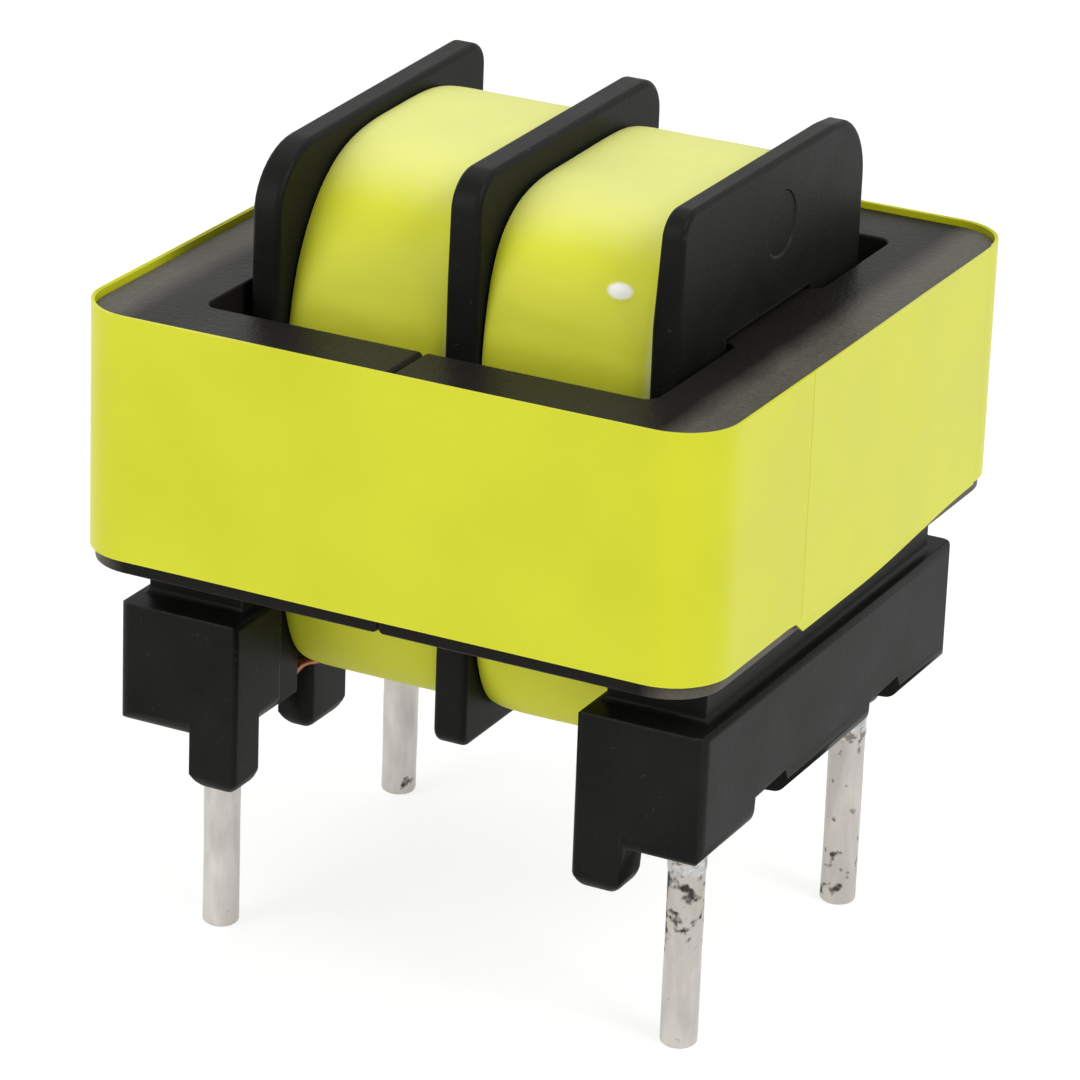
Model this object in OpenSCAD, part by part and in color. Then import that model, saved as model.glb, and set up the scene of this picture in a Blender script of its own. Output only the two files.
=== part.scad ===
// Two-section transformer on an EE ferrite core, for through-hole boards.
// X runs along the winding axis, Y across it and Z up. The pin tips stand at z = 0.

/* [Pins] */
// Diameter of a pin
pin_d = 0.8; // [0.6:0.05:0.9]
// Spacing of the pins along the winding axis
pin_spacing_x = 11; // [10.6:0.1:11.4]
// Spacing of the pins across the winding axis
pin_spacing_y = 8; // [7.8:0.1:8.4]
// Free length of a pin below the stand-off feet
pin_free = 4.28; // [3:0.02:5]
// Depth of a pin in its rail
pin_grip = 2.1; // [1.6:0.1:2.3]
// Chamfer at both ends of a pin
pin_chamfer = 0.12; // [0.04:0.02:0.2]
// Gap between a pin and its bore
pin_fit = 0.01; // [0.005:0.005:0.03]
// Thickness of the tin that coats a pin below its joint
pin_tin_t = 0.01; // [0.005:0.005:0.02]

/* [Core] */
// Thickness of the core, along Z
core_t = 5.6; // [5:0.1:6.2]
// Size of the core across the winding axis
core_w = 14.88; // [14.4:0.04:15.4]
// Width of the yoke at each end of the core
yoke_w = 2.04; // [1.8:0.04:2.4]
// Width of an outer leg
outer_leg_w = 1.68; // [1.4:0.04:1.9]
// Width of the centre leg
centre_leg_w = 3.9; // [3.5:0.1:4.2]
// Radius of the four upright corners
core_corner_r = 1.17; // [0.8:0.01:1.4]
// Radius where a leg meets its yoke
core_fillet_r = 0.3; // [0.1:0.05:0.5]
// Chamfer along the edges where the two halves meet
seam_chamfer = 0.08; // [0.04:0.02:0.2]

/* [Core tape] */
// Thickness of one layer of tape
tape_film_t = 0.055; // [0.04:0.005:0.08]
// Layers of tape that run all the way round
tape_full_layers = 2; // [1:1:3]
// Width of the tape
tape_w = 5.35; // [4.8:0.05:5.5]
// Height of the tape's rim above the core
tape_rim = 0.15; // [0:0.05:0.3]
// Gap between the tape and the core
tape_fit = 0.015; // [0.005:0.005:0.03]
// Where the last layer ends on the right side, in front of the middle
tape_end_y = 3.4; // [2.8:0.1:4.6]
// How far the inner layers slip below the last one at its end
tape_slip = 0.3; // [0.1:0.05:0.4]

/* [Bobbin] */
// Wall of the square tube round the centre leg
tube_wall = 0.7; // [0.5:0.05:0.8]
// Gap between the tube and the centre leg
leg_fit = 0.1; // [0.05:0.01:0.15]
// Width of one winding section
section_w = 3.86; // [3.6:0.02:4.2]
// Thickness of the flange between the two sections
mid_flange_t = 0.75; // [0.5:0.05:1]
// Thickness of the end flanges
end_flange_t = 0.65; // [0.5:0.05:0.8]
// Height of the flanges above the tube
flange_rise = 2.5; // [1.8:0.01:2.8]
// Reach of the end flanges on each side of the tube
end_flange_reach = 1.5; // [1.3:0.02:1.8]
// Reach of the middle flange on each side of the tube
mid_flange_reach = 1.38; // [1.2:0.02:1.7]
// Depth of the middle flange below the tube
mid_flange_drop = 2.75; // [2.6:0.05:2.9]
// Radius of the larger top corner of an end flange
large_corner_r = 1.5; // [0.9:0.1:2]
// Radius of the smaller top corner of an end flange
small_corner_r = 0.55; // [0.4:0.05:0.8]
// Radius of the top corners of the middle flange
mid_corner_r = 0.8; // [0.4:0.05:1.2]
// Radius of the bottom corners of the middle flange
mid_foot_r = 0.35; // [0.25:0.05:0.6]
// How much lower the left flange ends than the others
left_flange_drop = 0.15; // [0:0.05:0.3]
// Rounding of the flange edges
edge_r = 0.15; // [0.05:0.01:0.2]
// Gap between an end flange and the yoke
yoke_gap = 0.2; // [0.1:0.05:0.4]

/* [Terminal rails] */
// Width of a rail, along X
rail_w = 2.86; // [2.6:0.02:3.2]
// Length of a rail, along Y
rail_l = 12.5; // [12:0.1:13]
// Height of a rail
rail_h = 2.72; // [2.6:0.02:3]
// Reach of a rail's ends inside the end flange
rail_lip = 0.31; // [0.2:0.01:0.4]
// Rounding of a rail's outer edges
rail_r = 0.3; // [0.1:0.05:0.4]
// Chamfer along a rail's inner bottom edge
rail_chamfer = 0.4; // [0.2:0.05:0.5]
// Height of the ledge that carries the yoke
ledge_h = 1.1; // [0.9:0.05:1.3]
// Length of the ledge, along Y
ledge_l = 11; // [10:0.1:11.6]
// Step from a rail's outer face to the ledge
ledge_inset = 0.33; // [0.2:0.01:0.6]

/* [Stand-off feet] */
// Height of the feet
foot_h = 1; // [0.8:0.05:1.2]
// Side of a corner foot
corner_foot = 1.1; // [0.9:0.05:1.2]
// Size of a middle foot along X
mid_foot_x = 0.82; // [0.7:0.02:0.9]
// Size of a middle foot along Y
mid_foot_y = 1.49; // [1.2:0.01:1.8]
// Chamfer round the bottom of a foot
foot_chamfer = 0.2; // [0.1:0.05:0.3]

/* [Wire notches] */
// Distance from a pin's centre to its notch, at the rail's outer face
notch_gap_outer = 0.35; // [0.2:0.01:0.45]
// Distance from a pin's centre to its notch, at the rail's inner face
notch_gap_inner = 0.9; // [0.85:0.01:1]
// Width of a notch at the rail's outer face
notch_w_outer = 1.6; // [1.2:0.05:1.7]
// Width of a notch at the rail's inner face
notch_w_inner = 0.65; // [0.5:0.05:0.8]
// Height of a notch at the rail's outer face
notch_h_outer = 0.45; // [0.3:0.05:0.6]
// Room over the lead at a notch's inner end
notch_play = 0.12; // [0.05:0.01:0.2]

/* [Coils] */
// Drop from the top of the flanges to the top of the coils
coil_inset_top = 0.5; // [0.3:0.05:0.9]
// Step from the side of the middle flange to the side of the coils
coil_inset_side = 0.05; // [0.02:0.01:0.2]
// Step from the bottom of the middle flange to the bottom of the coils
coil_inset_bottom = 0.1; // [0.05:0.01:0.2]
// Roundness of a coil's section: 2 is an ellipse, larger is squarer
coil_squareness = 3.4; // [3:0.1:4]
// Squareness of the upper half of the coils at the back
coil_squareness_back = 5; // [3:0.1:6]
// Thickness of the tape over a coil
coil_tape_t = 0.12; // [0.06:0.01:0.2]
// Gap between a coil and the flanges and tube that it is wound on
coil_fit = 0.05; // [0.02:0.01:0.1]

/* [Leads] */
// Diameter of the wire
wire_d = 0.25; // [0.15:0.01:0.3]
// Height of a soldered joint
solder_h = 1.3; // [0.9:0.05:1.5]
// Thickness of the solder round a pin
solder_t = 0.32; // [0.28:0.01:0.4]
// Fullness of a bend in a lead, as a share of the wire
bend_fullness = 1.22; // [1.2:0.01:1.25]

/* [Hidden] */
$fn = 64;

// Overshoot of cutting bodies
cut = 1;

// Heights, from the pin tips upwards
foot_z = pin_free;
rail_z = foot_z + foot_h;
rail_top = rail_z + rail_h;
core_z = rail_top + ledge_h;
core_top = core_z + core_t;
tube_z = core_z - leg_fit - tube_wall;
tube_top = core_top + leg_fit + tube_wall;
flange_top = tube_top + flange_rise;
mid_flange_z = tube_z - mid_flange_drop;
tape_top = core_top + tape_rim;
tape_z = tape_top - tape_w;

// Distances from the middle, along X
mid_x = mid_flange_t / 2;
flange_in = mid_x + section_w;
flange_out = flange_in + end_flange_t;
yoke_in = flange_out + yoke_gap;
core_x = yoke_in + yoke_w;
rail_in = flange_in - rail_lip;
rail_out = rail_in + rail_w;
ledge_out = rail_out - ledge_inset;
pin_x = pin_spacing_x / 2;

// Distances from the middle, along Y
tube_y = centre_leg_w / 2 + leg_fit + tube_wall;
end_flange_y = tube_y + end_flange_reach;
mid_flange_y = tube_y + mid_flange_reach;
core_y = core_w / 2;
leg_in = core_y - outer_leg_w;
rail_y = rail_l / 2;
pin_y = pin_spacing_y / 2;
notch_far_outer = pin_y - notch_gap_outer;
notch_far_inner = pin_y - notch_gap_inner;
notch_near_outer = notch_far_outer - notch_w_outer;
notch_near_inner = notch_far_inner - notch_w_inner;

// Coil section
coil_top = flange_top - coil_inset_top;
coil_bottom = mid_flange_z + coil_inset_bottom;
coil_z = (coil_top + coil_bottom) / 2;
coil_a = mid_flange_y - coil_inset_side;
coil_b = (coil_top - coil_bottom) / 2;
coil_in = mid_x + coil_fit;
coil_out = flange_in - coil_fit;

// Pin root and the lead beside it
root_r = pin_d / 2 - pin_tin_t;
bore_r = root_r + pin_fit;
joint_top = rail_z - pin_fit;
joint_low = joint_top - solder_h;
wire_r = wire_d / 2;
lead_y = (notch_near_inner + notch_far_inner) / 2;
lead_z = coil_z - bulge(lead_y, coil_a, coil_b, coil_squareness) + coil_tape_t + wire_d;
lead_turn_x = pin_x - bore_r - wire_r;
lead_low_z = rail_z - wire_d;
notch_h_inner = lead_z + wire_r + notch_play - rail_z;

// Route of the lead at the back right: out of the coil, down through the notch and along the pin
lead_route = [
    [coil_out, lead_y, lead_z],
    [flange_in + wire_d, lead_y, lead_z - wire_r / 2],
    [lead_turn_x - wire_r, lead_y, rail_z],
    [lead_turn_x, (lead_y + pin_y) / 2, lead_low_z],
    [lead_turn_x, pin_y, lead_low_z - wire_r],
];

// Half height of a superellipse of half axes a and b and power n, at the distance y from its middle
function bulge(y, a, b, n) = b * pow(1 - pow(abs(y) / a, n), 1 / n);

// Outline of the same superellipse, with a power of its own for the upper half at the back
function bulge_outline(a, b, n, n_back, steps = 96) = [
    for (i = [0 : steps - 1])
        let (angle = 360 * i / steps, c = cos(angle), s = sin(angle), p = c > 0 && s > 0 ? n_back : n)
        [a * sign(c) * pow(abs(c), 2 / p), b * sign(s) * pow(abs(s), 2 / p)]
];

// A box between two opposite corners
module block(low, high) {
    translate(low) cube(high - low);
}

// Turns a flat shape so that its x lies along Y and its y along Z, and extrudes it along X
module along_x(from, to) {
    translate([from, 0, 0]) rotate([90, 0, 90]) linear_extrude(to - from) children();
}

// Turns a flat shape so that its x lies along X and its y along Z, and extrudes it along Y
module along_y(from, to) {
    translate([0, to, 0]) rotate([90, 0, 0]) linear_extrude(to - from) children();
}

// What a rounding of radius r takes off a square corner at the origin that points to +x +y
module corner_off(r) {
    difference() {
        translate([-r, -r]) square(r + cut);
        translate([-r, -r]) circle(r);
    }
}

// A rectangle of half sizes a and b with four rounded corners
module round_rect(a, b, r) {
    difference() {
        square([2 * a, 2 * b], center = true);
        for (sx = [0, 1], sy = [0, 1])
            mirror([sx, 0]) mirror([0, sy]) translate([a, b]) corner_off(r);
    }
}

// Cross-section of a plate's rim: t thick and depth long, its two outer edges rounded
module rim(t, depth) {
    difference() {
        square([t, depth]);
        translate([t, depth]) corner_off(edge_r);
        translate([0, depth]) mirror([1, 0]) corner_off(edge_r);
    }
}

// Corner of a plate: its rim turned through a right angle, from +Y to +Z
module plate_corner(t, r) {
    rotate([0, -90, 0]) mirror([0, 0, 1])
        rotate_extrude(angle = 90) rotate(-90) mirror([1, 0]) rim(t, r);
}

// Upper part of a flange from x = 0 to t and z = 0 to h, with a radius for its front and its back corner
module plate_end(t, half_w, h, r_front, r_back) {
    front_y = r_front - half_w;
    back_y = half_w - r_back;
    along_y(front_y, back_y) rim(t, h);
    translate([0, back_y, 0]) linear_extrude(h - r_back) rim(t, r_back);
    translate([0, back_y, h - r_back]) plate_corner(t, r_back);
    translate([0, front_y, 0]) mirror([0, 1, 0]) linear_extrude(h - r_front) rim(t, r_front);
    translate([0, front_y, h - r_front]) mirror([0, 1, 0]) plate_corner(t, r_front);
}

module mid_flange() {
    translate([-mid_x, 0, coil_z]) {
        plate_end(mid_flange_t, mid_flange_y, flange_top - coil_z, mid_corner_r, mid_corner_r);
        mirror([0, 0, 1])
            plate_end(mid_flange_t, mid_flange_y, coil_z - mid_flange_z, mid_foot_r, mid_foot_r);
    }
}

// End flange on the right, up to a height and with a radius for its front and its back corner
module end_flange(top, r_front, r_back) {
    root_z = (rail_z + notch_h_inner + rail_top) / 2;
    translate([flange_in, 0, root_z])
        plate_end(end_flange_t, end_flange_y, top - root_z, r_front, r_back);
}

// Rail on the right, before its notches and bores
module rail() {
    difference() {
        intersection() {
            along_y(-rail_y, rail_y) difference() {
                translate([rail_in, rail_z]) square([rail_w, rail_h]);
                translate([rail_out, rail_z]) mirror([0, 1]) corner_off(rail_r);
                translate([rail_out, rail_top]) corner_off(rail_r / 2);
                translate([rail_in, rail_z]) rotate(45) square(rail_chamfer * sqrt(2), center = true);
            }
            translate([rail_in, 0, rail_z]) linear_extrude(rail_h) difference() {
                translate([0, -rail_y]) square([rail_w, rail_l]);
                for (s = [0, 1]) mirror([0, s]) translate([rail_w, rail_y]) corner_off(rail_r);
            }
            along_x(rail_in, rail_out) difference() {
                translate([-rail_y, rail_z]) square([rail_l, rail_h]);
                for (s = [0, 1]) mirror([s, 0]) translate([rail_y, rail_z]) mirror([0, 1]) corner_off(rail_r);
            }
        }
        block([rail_in - cut, -end_flange_y - coil_fit, rail_z - cut],
            [flange_in, end_flange_y + coil_fit, rail_top + cut]);
    }
}

module ledge() {
    block([flange_in, -ledge_l / 2, rail_top - ledge_h], [ledge_out, ledge_l / 2, core_z]);
}

// Foot between two corners in plan, chamfered round its bottom
module foot(x0, x1, y0, y1) {
    intersection() {
        along_y(y0, y1) foot_side(x0, x1);
        along_x(x0, x1) foot_side(y0, y1);
    }
}

// Side view of a foot from a to b
module foot_side(a, b) {
    root_z = rail_z + rail_chamfer;
    polygon([
        [a, foot_z + foot_chamfer], [a + foot_chamfer, foot_z], [b - foot_chamfer, foot_z],
        [b, foot_z + foot_chamfer], [b, root_z], [a, root_z]
    ]);
}

// Notch that takes a lead from the coil to the pin at the back right
module notch() {
    slope = (notch_h_inner - notch_h_outer) / (rail_out - flange_in);
    in_x = rail_in - cut;
    out_x = rail_out + cut;
    intersection() {
        along_y(0, rail_y) polygon([
            [in_x, rail_z - cut], [in_x, rail_z + notch_h_inner], [flange_in, rail_z + notch_h_inner],
            [out_x, rail_z + notch_h_outer - slope * cut], [out_x, rail_z - cut]
        ]);
        translate([0, 0, rail_z - cut]) linear_extrude(rail_h) polygon([
            [in_x, notch_near_inner], [flange_in, notch_near_inner], [rail_out, notch_near_outer],
            [out_x, notch_near_outer], [out_x, notch_far_outer], [rail_out, notch_far_outer],
            [flange_in, notch_far_inner], [in_x, notch_far_inner]
        ]);
    }
}

module pin_bore() {
    translate([pin_x, pin_y, rail_z - cut]) cylinder(h = pin_grip + cut, r = bore_r);
}

// One end of the bobbin, on the right
module terminal_end() {
    difference() {
        union() {
            rail();
            ledge();
        }
        for (s = [0, 1]) mirror([0, s, 0]) {
            notch();
            pin_bore();
        }
    }
    for (s = [0, 1]) mirror([0, s, 0]) {
        foot(rail_in, rail_in + corner_foot, rail_y - corner_foot, rail_y);
        foot(flange_in, flange_in + mid_foot_x, notch_near_inner - mid_foot_y, notch_near_inner);
    }
}

// One moulding: tube, three flanges, two rails, ledges and feet
module bobbin() {
    open_y = tube_y - tube_wall;
    color([0.12, 0.12, 0.12]) difference() {
        union() {
            block([-flange_in, -tube_y, tube_z], [flange_in, tube_y, tube_top]);
            mid_flange();
            end_flange(flange_top, small_corner_r, large_corner_r);
            mirror([1, 0, 0]) end_flange(flange_top - left_flange_drop, large_corner_r, small_corner_r);
            for (turn = [0, 180]) rotate([0, 0, turn]) terminal_end();
        }
        block([-flange_out - cut, -open_y, tube_z + tube_wall], [flange_out + cut, open_y, tube_top - tube_wall]);
    }
}

// Right half of the core, from the seam at x = 0 to its yoke
module core_half() {
    color([0.37, 0.37, 0.35]) translate([0, 0, core_z]) difference() {
        linear_extrude(core_t) difference() {
            intersection() {
                round_rect(core_x, core_y, core_corner_r);
                translate([0, -core_y]) square([core_x, core_w]);
            }
            for (s = [0, 1]) mirror([0, s]) difference() {
                translate([-cut, centre_leg_w / 2]) square([yoke_in + cut, leg_in - centre_leg_w / 2]);
                translate([yoke_in, leg_in]) corner_off(core_fillet_r);
                translate([yoke_in, centre_leg_w / 2]) mirror([0, 1]) corner_off(core_fillet_r);
            }
        }
        for (z = [0, core_t]) along_y(-core_y - cut, core_y + cut)
            translate([0, z]) rotate(45) square(seam_chamfer * sqrt(2), center = true);
    }
}

// Ring of tape round the core, from the inner to the outer radius of some of its layers
module tape_ring(layer_from, layer_to) {
    inner = tape_fit + layer_from * tape_film_t;
    outer = tape_fit + layer_to * tape_film_t;
    translate([0, 0, tape_z]) linear_extrude(tape_w) difference() {
        round_rect(core_x + outer, core_y + outer, core_corner_r + outer);
        round_rect(core_x + inner, core_y + inner, core_corner_r + inner);
    }
}

// Tape wound round both halves; its last layer ends on the right side
module core_tape() {
    straight_y = core_y - core_corner_r;
    side_x = core_x + tape_fit;
    full_x = side_x + tape_full_layers * tape_film_t;
    color([0.84, 0.86, 0.2]) {
        tape_ring(0, tape_full_layers);
        difference() {
            tape_ring(tape_full_layers, tape_full_layers + 1);
            block([full_x, -tape_end_y, tape_z - cut], [full_x + cut, straight_y, tape_top + cut]);
        }
        along_x(side_x, full_x) polygon([
            [-tape_end_y, tape_z - tape_slip], [0, tape_z - tape_slip], [straight_y, tape_z],
            [straight_y, tape_z + tape_slip], [-tape_end_y, tape_z + tape_slip]
        ]);
    }
}

// Body of a coil's section from one x to another, grown by a margin
module coil_body(from, to, margin) {
    along_x(from, to) translate([0, coil_z])
        polygon(bulge_outline(coil_a + margin, coil_b + margin, coil_squareness, coil_squareness_back));
}

// Copper winding on the right section
module winding() {
    hole_y = tube_y + coil_fit;
    color([0.72, 0.4, 0.2]) difference() {
        coil_body(coil_in, coil_out, -coil_tape_t);
        block([coil_in - cut, -hole_y, tube_z - coil_fit], [coil_out + cut, hole_y, tube_top + coil_fit]);
    }
}

// Tape over the right coil
module coil_tape() {
    color([0.86, 0.88, 0.3]) difference() {
        coil_body(coil_in, coil_out, 0);
        coil_body(coil_in - cut, coil_out + cut, -coil_tape_t);
    }
}

// Pin at the back right: tinned up to its joint, bare above
module pin() {
    length = rail_z + pin_grip - pin_fit;
    r = pin_d / 2;
    color([0.75, 0.74, 0.71]) translate([pin_x, pin_y, 0]) rotate_extrude() polygon([
        [0, 0], [r - pin_chamfer, 0], [r, pin_chamfer], [r, joint_low], [root_r, joint_low],
        [root_r, length - pin_chamfer], [root_r - pin_chamfer, length], [0, length]
    ]);
}

// Straight rod between two points, past each of them by a given length
module rod(from, to, r, past = 0) {
    step = to - from;
    translate(from) rotate([0, acos(step.z / norm(step)), atan2(step.y, step.x)])
        translate([0, 0, -past]) cylinder(h = norm(step) + 2 * past, r = r);
}

// The lead's straight stretches, a little fuller where it bends
module lead() {
    last = len(lead_route) - 1;
    color([0.7, 0.36, 0.16]) {
        for (i = [1 : last]) rod(lead_route[i - 1], lead_route[i], wire_r);
        for (i = [1 : last - 1]) translate(lead_route[i]) sphere(wire_r * bend_fullness);
    }
}

// Solder round the root of the pin and the end of its lead
module solder() {
    last = len(lead_route) - 1;
    color([0.8, 0.8, 0.78]) difference() {
        translate([pin_x, pin_y, joint_low]) rotate_extrude() polygon([
            [bore_r, 0], [bore_r + solder_t * 0.15, solder_h * 0.08], [bore_r + solder_t * 0.8, solder_h * 0.5],
            [bore_r + solder_t, solder_h * 0.75], [bore_r + solder_t * 0.9, solder_h], [bore_r, solder_h]
        ]);
        rod(lead_route[last - 1], lead_route[last], wire_r * bend_fullness + pin_fit, wire_d);
    }
}

// Copies a piece from the back right to another quarter: sx and sy are -1 or 1
module place(sx, sy) {
    mirror([sx < 0 ? 1 : 0, 0, 0]) mirror([0, sy < 0 ? 1 : 0, 0]) children();
}

bobbin();
rotate([0, 0, 180]) core_half();  // core_left
core_half();  // core_right
core_tape();
place(-1, 1) winding();  // winding_left
winding();  // winding_right
place(-1, 1) coil_tape();  // coil_tape_left
coil_tape();  // coil_tape_right
place(-1, -1) pin();  // pin_front_left
place(1, -1) pin();  // pin_front_right
place(-1, 1) pin();  // pin_back_left
place(1, 1) pin();  // pin_back_right
place(-1, -1) lead();  // lead_front_left
place(1, -1) lead();  // lead_front_right
place(-1, 1) lead();  // lead_back_left
place(1, 1) lead();  // lead_back_right
place(-1, -1) solder();  // solder_front_left
place(1, -1) solder();  // solder_front_right
place(-1, 1) solder();  // solder_back_left
place(1, 1) solder();  // solder_back_right
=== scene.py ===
"""Finished pieces of the two-section transformer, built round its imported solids.

X runs along the winding axis, Y across it and Z up, with the pin tips at z = 0.
The makers below work in millimetres, and to_metres() turns a mesh into metres.
"""
import math

import bmesh
import bpy
from mathutils import Matrix, Vector, noise


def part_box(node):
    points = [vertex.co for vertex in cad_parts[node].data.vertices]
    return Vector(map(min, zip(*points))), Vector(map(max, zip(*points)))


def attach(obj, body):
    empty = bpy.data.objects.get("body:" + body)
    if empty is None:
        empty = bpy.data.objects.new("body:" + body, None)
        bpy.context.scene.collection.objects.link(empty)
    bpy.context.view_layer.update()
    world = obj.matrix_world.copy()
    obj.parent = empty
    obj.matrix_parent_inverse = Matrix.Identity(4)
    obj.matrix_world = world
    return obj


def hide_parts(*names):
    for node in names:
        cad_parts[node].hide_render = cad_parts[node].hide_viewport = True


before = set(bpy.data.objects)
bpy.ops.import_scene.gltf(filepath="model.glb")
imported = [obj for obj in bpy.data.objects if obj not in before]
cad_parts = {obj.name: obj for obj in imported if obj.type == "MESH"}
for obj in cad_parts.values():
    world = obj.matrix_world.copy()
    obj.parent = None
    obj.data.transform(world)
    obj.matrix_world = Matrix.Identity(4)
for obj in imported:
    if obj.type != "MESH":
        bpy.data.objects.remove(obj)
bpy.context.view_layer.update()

MM = 0.001
TURN = 2 * math.pi
QUARTERS = {"front_left": (-1, -1), "front_right": (1, -1), "back_left": (-1, 1), "back_right": (1, 1)}

# Bobbin
TUBE_Y = 2.8
TUBE_LOW = 8.25
TUBE_HIGH = 15.55
FLANGE_TOP = 18.0
MID_FLANGE_X = 0.375
FLANGE_IN = 4.235
FLANGE_T = 0.65
DRAFT_FROM = 15.6
END_DRAFT = 0.15
MID_DRAFT = 0.04
MID_BACK_REACH = 0.06
MID_BACK_Y = 4.1
MID_SLACK = 0.1
MID_OFF = -0.06
MID_LOW = 6.0
MID_LONGER = 0.12
TOP_DROP = {"left": (0.14, 0.035), "middle": (0.0, 0.03), "right": (0.0, 0.0)}
SET_BACK_FROM = 9.05
RIGHT_LONGER = 0.3
LEFT_LONGER = 0.5
LONGER_FROM = 3.0
PLATE_Y = 4.4
FOOT_Z = 4.28
FOOT_BAND = 0.3
FOOT_DROP = {"left": 0.15, "right": 0.2}
RIGHT_RAIL_DROP = 0.06
RAIL_BAND = 0.4
RAIL_SLACK = 0.02
CORNER_DROP = 0.17
CORNER_Y = -3.6
SHARP_FROM = math.radians(35)
EDGE_STEPS = 3
EDGES_CHANGE_Z = 8.9  # edges below this get the rails' radius, those above the mould's
MOULD_EDGE_R = 0.06
RAIL_EDGE_R = 0.13
RAIL_EDGE_ROOM = 0.15
EJECTOR_AT = (0.4, 16.55)
EJECTOR_R = 0.72
EJECTOR_DEPTH = 0.035
EJECTOR_STEPS = 64

# Core and its tape
CORNER_R = 1.17
CORNER_STEPS = 10
CORE_EDGE_R = 0.07
# painted shade: the ferrite is darkened inside this band of |x|, beside the flanges, and its edge wavers
SHADE_BAND_X = (6.1, 6.7)
SHADE_BAND_WAVER = 0.5
CORE_LOW = 9.3
CORE_LIFT = 0.1
FILM_T = 0.04
FILM_PRESSED = 0.94  # share of its thickness that a turn shows
FILM_FIT = 0.015
FILM_W = 5.35
FILM_TURNS = 3  # the strip ends where the last of these begins
FILM_STEP = 0.35
FILM_ROWS = 8
LAST_END_Y = -2.9
SLIP = 0.3
SLIP_RAMP = 0.3
SLIP_GONE_Y = 6.0
FACES_RIGHT = 0.99  # a normal with a greater x is on the right side, its back end included
FILM_WANDER = 0.03
FILM_WANDER_RATE = 0.035
TURN_INSET = 0.012

# Coils
COIL_TAPE_T = 0.12
COIL_TOP = {"left": 17.5, "right": 17.4}
COIL_TILT = 0.02
COIL_FRONT_POWER = {"left": (3.1, 2.55), "right": (4.0, 3.6)}
COIL_BACK_POWER = 5
COIL_LOW_POWER = 4.3
COIL_STATIONS = 56
COIL_POINTS = 380
COIL_OUTLINE_STEPS = 1600
COIL_MARGIN = 0.02
SHOULDER = 0.07
WINDING_TURNS = 14
WINDING_WIRE_R = 0.13
WINDING_ROOM = 0.05
STEPS_A_TURN = 6
WINDING_THIN = 3
LAP_STEP = 0.035
LAP_AT = 0.07
SOFT_RISE = 0.03
FOLD_RISE = 0.008
# painted sheen on the coils' tape: lighter towards the top, and a painted highlight along one rim
SHEEN_Z = (16.3, 17.5)
TOP_SHEEN = 0.22
RIM_SHEEN = 0.25
RIM_X = {"left": (-0.62, -0.45), "right": (3.95, 4.12)}
# the blister: a raised bump in the right coil's tape, with a painted highlight on it
BLISTER_AT = (3.21, 15.95)
BLISTER_SIZE = (0.34, 0.19)
BLISTER_RISE = 0.06

# Pins, leads and joints
PIN_X = 5.5
PIN_Y = 4.0
PIN_R = 0.4
PIN_TIP_R = 0.1
PIN_TIP_STEPS = 5
PIN_STEP = 0.12
PIN_SIDES = 40
PIN_NECK = 0.01
PIN_NECK_RAMP = 0.02
PIN_DENT = 0.012
RAIL_Z = 5.28
JOINT_TOP = 5.27
JOINT_LOW = 3.97
JOINT_ROWS = 28
JOINT_SIDES = 48
JOINT_SUNK = 0.02
JOINT_LUMPS = 0.035
# How far a joint stands out from its pin, at a share of its height
JOINT_SHAPE = [(0.0, 0.0), (0.012, 0.05), (0.02, 0.3), (0.035, 0.55),
               (0.07, 0.75), (0.09, 0.9), (0.07, 1.0)]
WIRE_R = 0.125
WRAP_TURNS = 1.3
WRAP_PITCH = 0.27
WRAP_STEPS = 20
LEAD_Y = 2.775
LEAD_THIN = 0.96
LEAD_SIDES = 14
LEAD_CURVE_STEPS = 3

# Stage
FLOOR_HALF = 1.6
FLOOR_GLOW = 0.78
WORLD_LIGHT = 0.45
LAMPS_AIM = (0, 0, 9)
CAMERA_ANGLES = (26.476, 21.946, 2.168)  # azimuth, elevation and roll
CAMERA_DISTANCE = 115.231
CAMERA_AIM = (-0.123, -0.034, 8.67)
CAMERA_LENS = 181.11
CAMERA_SENSOR = 36


# ---------------------------------------------------------------- meshes

def box_mm(node):
    """Lowest and highest corner of a solid, in millimetres."""
    low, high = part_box(node)
    return low / MM, high / MM


def smoothstep(low, high, value):
    """0 at low, 1 at high and smooth between."""
    t = min(1.0, max(0.0, (value - low) / (high - low)))
    return t * t * (3 - 2 * t)


def mix(a, b, share):
    return a + (b - a) * share


def skin(bm, rows, closed_rows=False, caps=False):
    """Faces between neighbouring rings of points; each ring is closed."""
    grid = [[bm.verts.new(p) for p in row] for row in rows]
    count = len(grid[0])
    following = grid[1:] + grid[:1] if closed_rows else grid[1:]
    for a, b in zip(grid, following):
        for i in range(count):
            j = (i + 1) % count
            bm.faces.new((a[i], a[j], b[j], b[i]))
    if caps:
        bm.faces.new(grid[0][::-1])
        bm.faces.new(grid[-1])
    bmesh.ops.recalc_face_normals(bm, faces=bm.faces)


def solid_of(node):
    """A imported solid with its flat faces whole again, in millimetres."""
    same_point, same_plane = 0.0005, math.radians(0.5)
    bm = bmesh.new()
    bm.from_mesh(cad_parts[node].data)
    bmesh.ops.scale(bm, vec=Vector((1, 1, 1)) / MM, verts=bm.verts)
    bmesh.ops.remove_doubles(bm, verts=bm.verts, dist=same_point)
    bmesh.ops.dissolve_limit(bm, angle_limit=same_plane, verts=bm.verts, edges=bm.edges)
    return bm


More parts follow.
